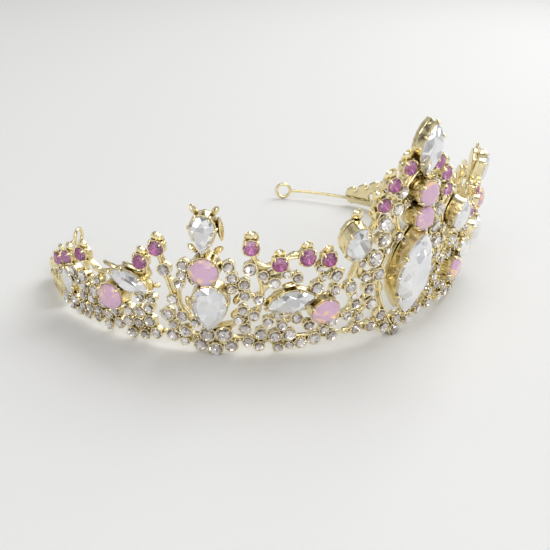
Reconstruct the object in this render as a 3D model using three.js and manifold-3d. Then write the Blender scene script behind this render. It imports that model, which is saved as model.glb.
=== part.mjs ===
// Bridal tiara: gilt cast panels soldered end to end round a horseshoe plan,
// set with crystal, opal-glass and amethyst-coloured stones, and closed by two wire eyes.
// Millimetres, +Z up. The tiara stands upright; its front faces -Y and the plan is open at the back.
import * as THREE from 'three';
import { mergeVertices } from 'three/addons/utils/BufferGeometryUtils.js';
import Module from 'manifold-3d';

const wasm = await Module();
wasm.setup();

// Driving dimensions
const BAND_RADIUS = 64;          // plan radius of the casting at the base
const FLARE = 0.084;             // outward lean of the band, per millimetre of height
const TUCK = 9;                  // the ends are sprung inwards: this much, TUCK_SPAN past TUCK_START
const TUCK_START = 80;
const TUCK_SPAN = 48.5;
const TUCK_CURVE = 1.2;
const PLATE_BACK = -0.9;         // cast plate, measured outwards from the band surface
const PLATE_FRONT = 0.7;
const STONE_GAP = 0.3;           // room left between a stone's point and its seat
const SEAT_RIM = 0.35;           // how far a seat stands out past its stone
const BAR_WIDTH = 1.25;          // cast bar between two seats
const RAIL_WIDTH = 1.5;
const RAIL_HEIGHT = 4.4;         // bottom rail that the panels hang from
const PAVE_CUP = 0.25;           // wall of a small stone's cup
const PANEL_CLEARANCE = 0.32;    // gap between neighbouring castings
const EYE_ANGLE = 128.5;         // the two wire eyes close the horseshoe here
const EYE_RADIUS = 2.5;          // to the middle of the wire
const EYE_WIRE = 0.6;            // wire radius
const EYE_SHANK_START = 93;      // where the wire is soldered inside the tail
const EYE_SHANK_INSET = -1.85;   // the shank lies just behind the tail
const TAIL_START = 88.1;         // first and last post of the tail
const TAIL_END = 104;
const GIRDLE = 0.07;             // stone proportions, as shares of its width
const PAVILION = 0.2;
const CROWN = 0.17;
const RIGHT_ANGLE = Math.PI / 2;
const rad = THREE.MathUtils.degToRad;

// Finishes
const gilt = new THREE.MeshStandardMaterial({ color: 0xd9bd74, roughness: 0.25, metalness: 1 });
const crystal = new THREE.MeshStandardMaterial({ color: 0xe9edf0, roughness: 0.05, metalness: 0.1 });
const opal = new THREE.MeshStandardMaterial({ color: 0xe6b9c9, roughness: 0.18, metalness: 0 });
const amethyst = new THREE.MeshStandardMaterial({ color: 0xb783b8, roughness: 0.07, metalness: 0.1 });

// Accent stones in the middle of the front: angle round the band, height, width, length
const CENTRE_STONES = [
  { name: 'top_navette', shape: 'navette', at: [0, 52.4], size: [6.8, 13.4], finish: crystal, lean: 2 },
  { name: 'upper_opal', shape: 'oval', at: [0, 41.7], size: [6, 6.4], finish: opal, out: 2.2 },
  { name: 'lower_opal', shape: 'oval', at: [0, 35.2], size: [6, 6.2], finish: opal, out: 2.2 },
  { name: 'centre_navette', shape: 'navette', at: [0, 20.1], size: [10.8, 23.8], finish: crystal, lean: 5 },
];

// Accent stones of one half, mirrored to the other; roll turns a stone in its seat
const HALF_STONES = [
  { name: 'top_amethyst', shape: 'round', at: [4.2, 48], size: [3.8, 3.8], finish: amethyst },
  { name: 'crest_amethyst_1', shape: 'round', at: [7.6, 44.1], size: [3.8, 3.8], finish: amethyst },
  { name: 'crest_amethyst_2', shape: 'round', at: [9.3, 39.3], size: [3.7, 3.7], finish: amethyst },
  {
    name: 'inner_oval', shape: 'oval', at: [15, 31.2], size: [6.6, 9.4],
    finish: crystal, lean: 9, out: 0.6,
  },
  { name: 'edge_amethyst_1', shape: 'round', at: [20.3, 26.7], size: [3.8, 3.8], finish: amethyst },
  { name: 'edge_amethyst_2', shape: 'oval', at: [24.9, 27.7], size: [3.9, 4.5], finish: amethyst },
  { name: 'edge_amethyst_3', shape: 'round', at: [30.5, 26.1], size: [3.8, 3.8], finish: amethyst },
  { name: 'tip_amethyst_1', shape: 'round', at: [36.4, 30.4], size: [3.8, 3.8], finish: amethyst },
  {
    name: 'inner_opal', shape: 'oval', at: [20.4, 13.1], size: [6.2, 7.4],
    finish: opal, roll: 62, out: 0.8,
  },
  {
    name: 'lying_navette', shape: 'navette', at: [27.8, 15.9], size: [6.1, 12.2],
    finish: crystal, roll: 76,
  },
  { name: 'peak_drop', shape: 'pear', at: [45.8, 33.7], size: [6.6, 9.8], finish: crystal, out: 0.6 },
  { name: 'peak_opal', shape: 'round', at: [45.5, 24.4], size: [7, 7], finish: opal, out: 1.2 },
  { name: 'peak_pear', shape: 'pear', at: [44.4, 14.6], size: [9.6, 12.4], finish: crystal, out: 0.8 },
  { name: 'tip_amethyst_2', shape: 'round', at: [55.8, 28.1], size: [3.8, 3.8], finish: amethyst },
  { name: 'tip_amethyst_3', shape: 'round', at: [59.6, 23.7], size: [3.8, 3.8], finish: amethyst },
  {
    name: 'slanted_navette', shape: 'navette', at: [62.4, 17.7], size: [5.6, 11.6],
    finish: crystal, roll: 105,
  },
  { name: 'outer_opal', shape: 'round', at: [66.6, 12.9], size: [6.9, 6.9], finish: opal, out: 1 },
  { name: 'end_amethyst_1', shape: 'round', at: [75.6, 20.9], size: [3.7, 3.7], finish: amethyst },
  { name: 'end_amethyst_2', shape: 'round', at: [80.8, 18.2], size: [3.7, 3.7], finish: amethyst },
  { name: 'end_amethyst_3', shape: 'round', at: [85.2, 15.9], size: [3.7, 3.7], finish: amethyst },
  { name: 'end_navette', shape: 'navette', at: [81.6, 11], size: [3.8, 7.5], finish: crystal, roll: -14 },
];

// Cups of the small stones of one half: angle, height, stone width
const CENTRE_CUPS = [
  [5, 41.9, 3.4], [5.4, 37.4, 3.3], [8.3, 34.3, 3.9], [3.8, 29.9, 2.9], [7.8, 29.7, 3.9],
  [9.3, 24.8, 4.1], [7.6, 20.2, 3.3], [11.2, 20.2, 2.6], [9.7, 16.5, 2.9], [14.4, 17.9, 3.2],
  [8.6, 12, 3.3], [5.3, 7.7, 2.9], [12.6, 12.9, 2.6], [11.4, 8.8, 2.6], [3.8, 3.6, 3.1],
  [7.8, 5, 2.9], [14.5, 9.8, 2.6], [11.7, 5.3, 2.9], [11.6, 28.2, 2.4], [6.3, 26.6, 2.3],
  [12.4, 24.2, 2.2], [3.2, 38.4, 2], [13.4, 15.2, 2],
];
const CENTRE_MIDDLE_CUPS = [[0, 1.6, 3.3], [0, 5.2, 2.7]];
const SIDE_CUPS = [
  [18.1, 21.8, 3.2], [22.2, 19, 3.2], [18, 17.8, 2.6], [26.6, 22, 2.6], [31.3, 20.9, 2.8],
  [36.5, 24.6, 3.2], [40.8, 25, 2.8], [40.1, 22.1, 2.6], [37.5, 20.4, 2.6], [40, 19, 2.4],
  [37.4, 17.3, 2.6], [50.3, 24.3, 2.8], [50.6, 21.6, 2.5], [51.2, 19, 2.5], [54.4, 22.4, 3.2],
  [34.4, 16.3, 2.6], [35.3, 11.7, 2.8], [32.3, 9.9, 2.6], [30.1, 11.9, 2.6], [29.2, 8.8, 2.6],
  [26.1, 10.7, 2.9], [23.3, 8.3, 2.6], [17.9, 8.7, 2.6], [37.7, 13.2, 2.4], [37.1, 8, 2.9],
  [33.7, 6.5, 2.9], [30.6, 5.7, 3], [27.5, 6.1, 3.2], [24.8, 3.4, 2.9], [21.7, 4.3, 3.2],
  [17.7, 4.6, 2.9], [33.9, 2.9, 2.6], [29.8, 2.4, 2.4], [45.2, 5.6, 3.6], [41.6, 6, 3.9],
  [46.6, 2.6, 3.4], [40, 2.8, 3.2], [43.4, 1.5, 3.4], [50.7, 10.1, 2.8], [52.7, 14.7, 2.8],
  [50.1, 5.8, 2.8], [54.1, 10.1, 3.2], [52.9, 4.3, 3.2], [21.9, 24.4, 2.2], [33.8, 23, 2.4],
  [29, 23.3, 2.2], [20.7, 21.7, 2], [48.2, 20.8, 2.2], [47.9, 8.7, 2.4], [38.6, 10.4, 2.4],
  [27.2, 3, 2.2], [36.4, 4.2, 2.6], [50.2, 3, 2.2], [52.8, 7.4, 2.4], [19.7, 6.6, 2.3],
];
const OUTER_CUPS = [
  [58.4, 10.7, 2.6], [60.7, 9.3, 2.8], [63.4, 8.8, 2.6], [58.3, 7, 2.8], [61, 6, 2.6],
  [63.7, 5.6, 2.8], [56.9, 3.8, 2.8], [59.7, 2.7, 2.6], [62.9, 2.4, 2.8], [66.3, 4.1, 2.8],
  [67.1, 7.4, 2.6], [69.3, 5.7, 2.6], [70.7, 8.6, 2.6], [73, 11.4, 2.8], [72, 6, 2.6],
  [73.9, 8.7, 2.6], [76.1, 14.4, 3.2], [76, 11.4, 2.6], [74.6, 5.5, 2.8], [79.5, 14.6, 3.2],
  [76.8, 8.6, 2.6], [77.2, 5.2, 2.6], [80, 6.1, 2.8], [82.7, 6.7, 3], [84.3, 4.4, 3],
  [69.4, 2.6, 2.6], [81.4, 3.7, 2.6], [85.4, 11.7, 2.6], [60.3, 13.4, 2.4], [78.2, 12.1, 2.3],
  [71.4, 14.8, 2.3], [78.6, 3, 2.3], [75.9, 3, 2.2], [72.7, 3.4, 2.3], [57.6, 13.4, 2.2],
];

// Open gilt stems of one half, as runs of [angle, height] on the band surface
const CENTRE_STEMS = [
  [[0, 47.4], [2.7, 44.7], [4.7, 39.9], [4.8, 33.8], [3.6, 31.4]],
  [[3.6, 30.1], [6.7, 24.5], [7.2, 18], [4.9, 9.5], [0, 2.2]],
  [[8.7, 39.3], [10.5, 32.9], [12.6, 26.4], [14.1, 20.8]],
];
const SIDE_STEMS = [
  [[36.2, 28.8], [34.8, 23.9], [33.7, 18.5], [34.4, 13], [37.1, 9.3]],
  [[45.5, 29.4], [45.1, 22.2]],
  [[50.2, 23.3], [51.8, 17.8], [51.5, 12.5], [48.2, 8.4], [43.8, 7.5], [39.5, 8.9], [37.6, 12.6]],
  [[55.6, 27.6], [55.4, 25.1], [54.1, 19.9], [52.7, 14.7]],
  [[20.3, 26.8], [18.8, 23.9], [18, 21.9]],
  [[24.9, 27.2], [27.6, 27.8], [30.4, 26.2], [33.4, 24.6], [35.6, 26.4]],
];
const OUTER_STEMS = [
  [[59.6, 22.8], [58.4, 19.8], [62.6, 20.4], [67.5, 18.4], [71.1, 17], [75.7, 19.8]],
  [[80.9, 17.6], [79.2, 14.7]],
  [[85.2, 15], [83.8, 12.2], [84.2, 8.2]],
];

// ---- The band surface -------------------------------------------------------------------

// Distance from the plan's centre: the band flares as it rises and its ends are sprung inwards
function reachAt(angle, height) {
  const past = Math.max(0, Math.abs(angle) - TUCK_START) / TUCK_SPAN;
  return BAND_RADIUS + FLARE * height - TUCK * past ** TUCK_CURVE;
}

function bandPoint(angle, height, out = 0) {
  const reach = reachAt(angle, height);
  const outward = new THREE.Vector3(Math.sin(rad(angle)), -Math.cos(rad(angle)), -FLARE).normalize();
  const onBand = new THREE.Vector3(reach * Math.sin(rad(angle)), -reach * Math.cos(rad(angle)), height);
  return onBand.addScaledVector(outward, out);
}

// A frame on the band: X runs round it, Y up it and Z outwards; lean tips the top outwards
function bandFrame({ angle, height, out = 0, roll = 0, lean = 0 }) {
  const round = new THREE.Vector3(Math.cos(rad(angle)), Math.sin(rad(angle)), 0);
  const outward = new THREE.Vector3(Math.sin(rad(angle)), -Math.cos(rad(angle)), -FLARE).normalize();
  const up = new THREE.Vector3().crossVectors(outward, round);
  const frame = new THREE.Matrix4().makeBasis(round, up, outward).setPosition(bandPoint(angle, height, out));
  frame.multiply(new THREE.Matrix4().makeRotationX(rad(lean)));
  return frame.multiply(new THREE.Matrix4().makeRotationZ(rad(roll)));
}

// ---- Stones -----------------------------------------------------------------------------

// One point of a stone's outline; a pear's point is at the bottom
function outlinePoint(shape, width, length, turn) {
  const across = Math.cos(turn);
  const along = Math.sin(turn);
  if (shape === 'navette') {
    const arc = (length * length + width * width) / (4 * width);
    const y = (length / 2) * along;
    const x = Math.sign(across) * (Math.sqrt(arc * arc - y * y) - arc + width / 2);
    return [Math.abs(across) < 1e-9 ? 0 : x, y];
  }
  if (shape === 'pear') {
    const swell = Math.sqrt((1 + along) / 2) * (1.25 - 0.15 * along);
    return [(width / 2) * across * swell, (length / 2) * along];
  }
  return [(width / 2) * across, (length / 2) * along];
}

// A faceted stone: point of the pavilion at z = 0, girdle, crown facets and table
function stoneGeometry(shape, width, length) {
  const mains = width > 5 ? 8 : 6;
  const pavilion = width * PAVILION;
  const crownFoot = pavilion + width * GIRDLE;
  const tableHeight = crownFoot + width * CROWN;
  const points = [];
  const ring = (count, offset, share, z) => {
    const start = points.length;
    for (let i = 0; i < count; i++) {
      const turn = ((i + offset) / count) * Math.PI * 2;
      const [x, y] = outlinePoint(shape, width, length, turn);
      points.push(new THREE.Vector3(x * share, y * share, z));
    }
    return (i) => start + (i % count);
  };
  const low = ring(mains * 2, 0, 1, pavilion);
  const high = ring(mains * 2, 0, 1, crownFoot);
  const bezel = ring(mains, 0, 0.8, crownFoot + width * CROWN * 0.62);
  const table = ring(mains, 0.5, 0.6, tableHeight);
  const point = points.push(new THREE.Vector3(0, 0, 0)) - 1;
  const middle = points.push(new THREE.Vector3(0, 0, tableHeight)) - 1;
  const faces = [];
  for (let i = 0; i < mains * 2; i++) {
    faces.push([point, low(i + 1), low(i)]);
    faces.push([low(i), low(i + 1), high(i + 1)], [low(i), high(i + 1), high(i)]);
  }
  for (let i = 0; i < mains; i++) {
    const odd = high(2 * i + 1);
    faces.push([high(2 * i), odd, bezel(i)], [odd, high(2 * i + 2), bezel(i + 1)]);
    faces.push([odd, table(i), bezel(i)], [odd, bezel(i + 1), table(i)]);
    faces.push([bezel(i + 1), table(i + 1), table(i)], [table(i), table(i + 1), middle]);
  }
  const geometry = new THREE.BufferGeometry();
  geometry.setAttribute('position', new THREE.Float32BufferAttribute(points.flatMap((p) => p.toArray()), 3));
  geometry.setIndex(faces.flat());
  return geometry;
}

// ---- Casting pieces ---------------------------------------------------------------------
// A casting is laid out flat, X along the base of the band and Y up it, then bent to the band.

function solid(geometry) {
  const bare = geometry.clone();
  bare.deleteAttribute('normal');
  bare.deleteAttribute('uv');
  const merged = mergeVertices(bare, 1e-5);
  const mesh = new wasm.Mesh({
    numProp: 3,
    vertProperties: new Float32Array(merged.attributes.position.array),
    triVerts: new Uint32Array(merged.index.array),
  });
  return new wasm.Manifold(mesh);
}

function geometryOf(manifold) {
  const mesh = manifold.getMesh();
  const geometry = new THREE.BufferGeometry();
  geometry.setAttribute('position', new THREE.BufferAttribute(Float32Array.from(mesh.vertProperties), 3));
  geometry.setIndex(Array.from(mesh.triVerts));
  return geometry;
}

const flatPoint = (angle, height) => new THREE.Vector2(BAND_RADIUS * rad(angle), height);
const flatShare = (height) => BAND_RADIUS / (BAND_RADIUS + FLARE * height);

// Bends a flat casting round the flared band
function bent(geometry) {
  const position = geometry.attributes.position;
  for (let i = 0; i < position.count; i++) {
    const angle = position.getX(i) / BAND_RADIUS;
    const reach = reachAt(THREE.MathUtils.radToDeg(angle), position.getY(i)) + position.getZ(i);
    position.setXYZ(i, reach * Math.sin(angle), -reach * Math.cos(angle), position.getY(i));
  }
  return geometry;
}

function plate(outline, top = PLATE_FRONT) {
  const depth = top - PLATE_BACK;
  const geometry = new THREE.ExtrudeGeometry(new THREE.Shape(outline), { depth, bevelEnabled: false });
  return solid(geometry.translate(0, 0, PLATE_BACK));
}

// The flat seat behind a stone, cut to the stone's own outline, or a small part of it as a post
function seatPlate({ shape, at, size, roll = 0 }, side, grow, share = 1, top = PLATE_FRONT) {
  const [angle, height] = at;
  const [width, length] = size;
  const corners = length > 5 ? 12 : 6;
  const rim = 2 * (SEAT_RIM + grow);
  const middle = flatPoint(side * angle, height);
  const outline = [];
  for (let i = 0; i < corners; i++) {
    const turn = ((i + (shape === 'round' ? 0.5 : 0)) / corners) * Math.PI * 2;
    const [x, y] = outlinePoint(shape, (width + rim) * share, (length + rim) * share, turn);
    const point = new THREE.Vector2(x, y).rotateAround(new THREE.Vector2(), rad(side * roll));
    outline.push(new THREE.Vector2(middle.x + point.x * flatShare(height), middle.y + point.y));
  }
  return plate(outline, top);
}

function cupPlate([angle, height, width], side, grow) {
  const size = [width, width];
  return seatPlate({ shape: 'round', at: [angle, height], size }, side, grow + PAVE_CUP - SEAT_RIM);
}

function barPlate(from, to, width) {
  const along = new THREE.Vector2().subVectors(to, from).setLength(width / 2);
  const across = new THREE.Vector2(-along.y, along.x);
  const tail = from.clone().sub(along);
  const head = to.clone().add(along);
  return plate([
    tail.clone().sub(across),
    head.clone().sub(across),
    head.clone().add(across),
    tail.clone().add(across),
  ]);
}

// A leaning stone stands away from the band by the rise of its own half length
const stoneLift = ({ size, out = 0, lean = 0 }) => out + (size[1] / 2) * Math.sin(rad(lean));

function stoneFrame(stone, side) {
  const { at: [angle, height], roll = 0, lean = 0 } = stone;
  return bandFrame({ angle: side * angle, height, out: stoneLift(stone), roll: side * roll, lean });
}

// Links every foot to its nearest neighbour that is already joined, so the casting is one web
function webLinks(feet) {
  const joined = [0];
  const loose = feet.map((_, i) => i).slice(1);
  const links = [];
  while (loose.length) {
    let best = null;
    for (const a of joined) {
      for (const b of loose) {
        const gap = feet[a].distanceTo(feet[b]);
        if (!best || gap < best.gap) best = { a, b, gap };
      }
    }
    links.push([best.a, best.b]);
    joined.push(best.b);
    loose.splice(loose.indexOf(best.b), 1);
  }
  return links;
}

const BELOW_DEPTH = 20;          // everything below the standing surface is trimmed off
const BELOW_BASE = new THREE.BoxGeometry(600, BELOW_DEPTH, BELOW_DEPTH).translate(0, -BELOW_DEPTH / 2, 0);
const SHORTEST_BAR = 0.3;        // feet closer together than this already touch
const WEB_TOLERANCE = 0.02;      // slivers smaller than this are cleaned off the web
const POST_SHARE = 0.4;          // a proud stone's post, as a share of its seat
const POST_RELIEF = 0.35;        // a leaning stone's post stops this much lower

// A casting: rail, stems, seats, posts and cups, and the bars that join them
function castingSolid({ sides, stones, middleCups = [], cups, stems, rail, leaves = [] }, grow = 0) {
  const pieces = [];
  const feet = [];
  const addRun = (run, side, width) => {
    const points = run.map(([angle, height]) => flatPoint(side * angle, height));
    for (let i = 1; i < points.length; i++) {
      pieces.push(barPlate(points[i - 1], points[i], width + 2 * grow));
    }
    feet.push(...points);
  };
  const addCup = (cup, side) => {
    pieces.push(cupPlate(cup, side, grow));
    feet.push(flatPoint(side * cup[0], cup[1]));
  };
  for (const side of sides) {
    for (const run of rail) addRun(run, side, RAIL_WIDTH);
    for (const run of stems) addRun(run, side, BAR_WIDTH);
    for (const cup of cups) addCup(cup, side);
    for (const leaf of leaves) pieces.push(seatPlate(leaf, side, grow));
  }
  for (const cup of middleCups) addCup(cup, 1);
  for (const { stone, side } of stones) {
    pieces.push(seatPlate(stone, side, grow));
    const lift = stoneLift(stone) - (stone.lean ? POST_RELIEF : 0);
    if (lift > 0) pieces.push(seatPlate({ ...stone }, side, grow, POST_SHARE, PLATE_FRONT + lift));
    feet.push(flatPoint(side * stone.at[0], stone.at[1]));
  }
  for (const [a, b] of webLinks(feet)) {
    if (feet[a].distanceTo(feet[b]) > SHORTEST_BAR) {
      pieces.push(barPlate(feet[a], feet[b], BAR_WIDTH + 2 * grow));
    }
  }
  return wasm.Manifold.union(pieces).subtract(solid(BELOW_BASE)).asOriginal().simplify(WEB_TOLERANCE);
}

function tubeGeometry(points, radius, sides, steps) {
  const section = [];
  for (let i = 0; i < sides; i++) {
    const turn = (i / sides) * Math.PI * 2;
    section.push(new THREE.Vector2(radius * Math.cos(turn), radius * Math.sin(turn)));
  }
  const extrudePath = new THREE.CatmullRomCurve3(points, false, 'centripetal');
  return new THREE.ExtrudeGeometry(new THREE.Shape(section), { steps, extrudePath, bevelEnabled: false });
}

// ---- The tiara --------------------------------------------------------------------------

const tiara = new THREE.Group();
const centred = new THREE.Group();
tiara.add(centred);

function addPart(name, geometry, finish) {
  const mesh = new THREE.Mesh(geometry, finish);
  mesh.name = name;
  centred.add(mesh);
}

const SIDES = [{ side: -1, label: 'left' }, { side: 1, label: 'right' }];

function railRun([from, to]) {
  const run = [];
  const count = Math.round((to - from) / RAIL_STEP);
  for (let i = 0; i <= count; i++) run.push([from + ((to - from) * i) / count, RAIL_HEIGHT]);
  return run;
}

// Stones
function addStone(stone, side, label) {
  const geometry = stoneGeometry(stone.shape, ...stone.size);
  geometry.translate(0, 0, PLATE_FRONT + STONE_GAP);
  geometry.applyMatrix4(stoneFrame(stone, side));
  addPart(label ? `${label}_${stone.name}` : stone.name, geometry, stone.finish);
}
for (const stone of CENTRE_STONES) addStone(stone, 1, '');
for (const { side, label } of SIDES) {
  for (const stone of HALF_STONES) addStone(stone, side, label);
}

// Castings
const CENTRE_REACH = 15.5;       // accent stones up to here sit on the centre casting
const SIDE_REACH = 56;
const CENTRE_RAIL = [0, 14];     // where each casting's bottom rail starts and ends
const SIDE_RAIL = [17.6, 53.6];
const OUTER_RAIL = [56.8, 85];
const RAIL_STEP = 7;
const within = (from, to) => HALF_STONES.filter(({ at: [angle] }) => angle >= from && angle < to);
const centrePlan = {
  sides: [-1, 1],
  stones: [
    ...CENTRE_STONES.map((stone) => ({ stone, side: 1 })),
    ...SIDES.flatMap(({ side }) => within(0, CENTRE_REACH).map((stone) => ({ stone, side }))),
  ],
  middleCups: CENTRE_MIDDLE_CUPS,
  cups: CENTRE_CUPS,
  stems: CENTRE_STEMS,
  rail: [railRun(CENTRE_RAIL)],
};
addPart('centre_casting', bent(geometryOf(castingSolid(centrePlan))), gilt);

for (const { side, label } of SIDES) {
  const planOf = (from, to, cups, stems, rail) => ({
    sides: [side],
    stones: within(from, to).map((stone) => ({ stone, side })),
    cups,
    stems,
    rail: [rail],
  });
  const sidePlan = planOf(CENTRE_REACH, SIDE_REACH, SIDE_CUPS, SIDE_STEMS, railRun(SIDE_RAIL));
  const outerPlan = planOf(SIDE_REACH, TAIL_START, OUTER_CUPS, OUTER_STEMS, railRun(OUTER_RAIL));
  const sideCasting = castingSolid(sidePlan).subtract(castingSolid(centrePlan, PANEL_CLEARANCE));
  const outerCasting = castingSolid(outerPlan).subtract(castingSolid(sidePlan, PANEL_CLEARANCE));
  addPart(`${label}_side_casting`, bent(geometryOf(sideCasting)), gilt);
  addPart(`${label}_outer_casting`, bent(geometryOf(outerCasting)), gilt);
}

// Tails: two rails that close towards the eye, with a vine, leaves between them and a leafy crest
const TAIL_TOP = 11.4;
const TAIL_TIP = 4.2;
const TAIL_BOTTOM = 2;
const BAY_COUNT = 4;
const BAY = (TAIL_END - TAIL_START) / BAY_COUNT;
const LEAF = { shape: 'navette', size: [2.4, 5], roll: 36 };
const CREST_RISE = 1.1;          // how far a crest leaf stands above the upper rail
const tailRails = { upper: [], lower: [], vine: [], leaves: [] };
for (let i = 0; i <= BAY_COUNT; i++) {
  const angle = TAIL_START + BAY * i;
  const height = TAIL_TOP + ((TAIL_TIP - TAIL_TOP) * i) / BAY_COUNT;
  tailRails.upper.push([angle, height]);
  tailRails.lower.push([angle, TAIL_BOTTOM]);
  tailRails.vine.push([angle, i % 2 ? TAIL_BOTTOM : height]);
  if (i > 0) {
    tailRails.leaves.push({ ...LEAF, at: [angle, height + CREST_RISE] });
    const middle = [angle - BAY / 2, (TAIL_BOTTOM + height) / 2];
    tailRails.leaves.push({ ...LEAF, at: middle, roll: i % 2 ? -LEAF.roll : LEAF.roll });
  }
}
const tailPost = [[TAIL_START, TAIL_BOTTOM], [TAIL_START, TAIL_TOP]];
const tailPlan = (side) => ({
  sides: [side],
  stones: [],
  cups: [],
  stems: [tailRails.upper, tailRails.vine, tailPost],
  rail: [tailRails.lower],
  leaves: tailRails.leaves,
});
for (const { side, label } of SIDES) {
  addPart(`${label}_tail_casting`, bent(geometryOf(castingSolid(tailPlan(side)))), gilt);
}

// Eyes: a ring in the upright plane of the band, on a shank soldered inside the tail
const EYE_HEIGHT = EYE_RADIUS + EYE_WIRE;
const SHANK_STEPS = 6;
function shankPoint(angle, side) {
  const reach = reachAt(angle, EYE_HEIGHT) + EYE_SHANK_INSET;
  return new THREE.Vector3(side * reach * Math.sin(rad(angle)), -reach * Math.cos(rad(angle)), EYE_HEIGHT);
}
for (const { side, label } of SIDES) {
  const eye = shankPoint(EYE_ANGLE, side);
  const beforeEye = shankPoint(EYE_ANGLE - 1, side);
  const heading = Math.atan2(eye.y - beforeEye.y, eye.x - beforeEye.x);
  const ring = new THREE.TorusGeometry(EYE_RADIUS, EYE_WIRE, 6, 20);
  ring.rotateX(RIGHT_ANGLE);
  ring.rotateZ(heading);
  ring.translate(eye.x, eye.y, eye.z);
  const points = [];
  const last = SHANK_STEPS;
  for (let i = 0; i <= last; i++) {
    points.push(shankPoint(EYE_SHANK_START + ((EYE_ANGLE - EYE_SHANK_START) * i) / last, side));
  }
  points[last].lerp(points[last - 1], EYE_RADIUS / points[last].distanceTo(points[last - 1]));
  const shank = tubeGeometry(points, EYE_WIRE, 6, 14);
  addPart(`${label}_eye_wire`, geometryOf(solid(shank).add(solid(ring))), gilt);
}

// The origin is the middle of the tiara's footprint, on the surface that it stands on
const box = new THREE.Box3().setFromObject(tiara);
centred.position.set(-(box.min.x + box.max.x) / 2, -(box.min.y + box.max.y) / 2, -box.min.z);

export default tiara;
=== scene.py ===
"""Bridal tiara: gilt castings, clawed stones and rhinestone cups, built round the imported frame."""
import random
from math import atan2, cos, pi, radians, sin, sqrt
from typing import NamedTuple

import bpy
from bpy.props import FloatProperty, FloatVectorProperty, IntProperty, PointerProperty
from bpy.types import Operator, Panel, PropertyGroup
from mathutils import Matrix, Vector


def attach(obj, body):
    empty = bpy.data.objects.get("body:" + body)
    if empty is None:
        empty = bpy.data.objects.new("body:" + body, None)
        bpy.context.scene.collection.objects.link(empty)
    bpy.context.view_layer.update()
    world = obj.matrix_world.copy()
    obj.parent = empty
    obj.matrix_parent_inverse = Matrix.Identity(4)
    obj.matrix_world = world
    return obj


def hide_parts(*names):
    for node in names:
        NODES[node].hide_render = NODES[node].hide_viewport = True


bl_info = {
    "name": "Bridal Tiara",
    "version": (1, 0, 0),
    "blender": (4, 5, 0),
    "location": "3D View > Sidebar > Tiara",
    "description": "Builds a gilt bridal tiara with crystal, opal and amethyst-coloured stones",
    "category": "Object",
}

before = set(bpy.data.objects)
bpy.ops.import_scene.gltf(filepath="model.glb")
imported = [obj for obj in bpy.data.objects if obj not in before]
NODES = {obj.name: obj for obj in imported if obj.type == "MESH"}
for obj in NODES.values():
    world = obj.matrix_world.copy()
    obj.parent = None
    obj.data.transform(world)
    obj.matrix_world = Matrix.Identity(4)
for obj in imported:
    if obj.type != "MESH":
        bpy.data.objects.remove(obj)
bpy.ops.object.select_all(action="DESELECT")
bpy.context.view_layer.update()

# Sizes below are millimetres; MM turns them into the frame's metres
MM = 0.001

# The band: a round plan that flares outwards as it rises
BAND_RADIUS = 64.0
FLARE = 0.084
TUCK = 9.0                  # the ends are sprung inwards: this much, TUCK_SPAN past TUCK_START
TUCK_START = 80.0
TUCK_SPAN = 48.5
TUCK_CURVE = 1.2
PLAN_SHIFT = 19.06          # the origin stands this far in front of the plan's centre
PLATE_FRONT = 0.7           # front of the cast plate, outwards from the band surface
STONE_GAP = 0.3
PAVILION = 0.2              # stone proportions, as shares of the width
GIRDLE = 0.07
CENTRE_REACH = 15.5         # accent stones up to here sit on the centre casting
SIDE_REACH = 56.0
SIDES = (("left", -1), ("right", 1))


class Stone(NamedTuple):
    """An accent stone of the design: its outline, its place on the band and how it is turned."""

    name: str
    shape: str
    angle: float
    height: float
    width: float
    length: float
    out: float = 0.0
    roll: float = 0.0
    lean: float = 0.0

    @property
    def lift(self):
        """How far the middle stands off the band, with the rise of a leaning stone's half length."""
        return self.out + self.length / 2 * sin(radians(self.lean))


CENTRE_STONES = [
    Stone("top_navette", "navette", 0, 52.4, 6.8, 13.4, lean=2),
    Stone("upper_opal", "oval", 0, 41.7, 6, 6.4, out=2.2),
    Stone("lower_opal", "oval", 0, 35.2, 6, 6.2, out=2.2),
    Stone("centre_navette", "navette", 0, 20.1, 10.8, 23.8, lean=5),
]
HALF_STONES = [
    Stone("top_amethyst", "round", 4.2, 48, 3.8, 3.8),
    Stone("crest_amethyst_1", "round", 7.6, 44.1, 3.8, 3.8),
    Stone("crest_amethyst_2", "round", 9.3, 39.3, 3.7, 3.7),
    Stone("inner_oval", "oval", 15, 31.2, 6.6, 9.4, out=0.6, lean=9),
    Stone("edge_amethyst_1", "round", 20.3, 26.7, 3.8, 3.8),
    Stone("edge_amethyst_2", "oval", 24.9, 27.7, 3.9, 4.5),
    Stone("edge_amethyst_3", "round", 30.5, 26.1, 3.8, 3.8),
    Stone("tip_amethyst_1", "round", 36.4, 30.4, 3.8, 3.8),
    Stone("inner_opal", "oval", 20.4, 13.1, 6.2, 7.4, out=0.8, roll=62),
    Stone("lying_navette", "navette", 27.8, 15.9, 6.1, 12.2, roll=76),
    Stone("peak_drop", "pear", 45.8, 33.7, 6.6, 9.8, out=0.6),
    Stone("peak_opal", "round", 45.5, 24.4, 7, 7, out=1.2),
    Stone("peak_pear", "pear", 44.4, 14.6, 9.6, 12.4, out=0.8),
    Stone("tip_amethyst_2", "round", 55.8, 28.1, 3.8, 3.8),
    Stone("tip_amethyst_3", "round", 59.6, 23.7, 3.8, 3.8),
    Stone("slanted_navette", "navette", 62.4, 17.7, 5.6, 11.6, roll=105),
    Stone("outer_opal", "round", 66.6, 12.9, 6.9, 6.9, out=1),
    Stone("end_amethyst_1", "round", 75.6, 20.9, 3.7, 3.7),
    Stone("end_amethyst_2", "round", 80.8, 18.2, 3.7, 3.7),
    Stone("end_amethyst_3", "round", 85.2, 15.9, 3.7, 3.7),
    Stone("end_navette", "navette", 81.6, 11, 3.8, 7.5, roll=-14),
]

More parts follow.
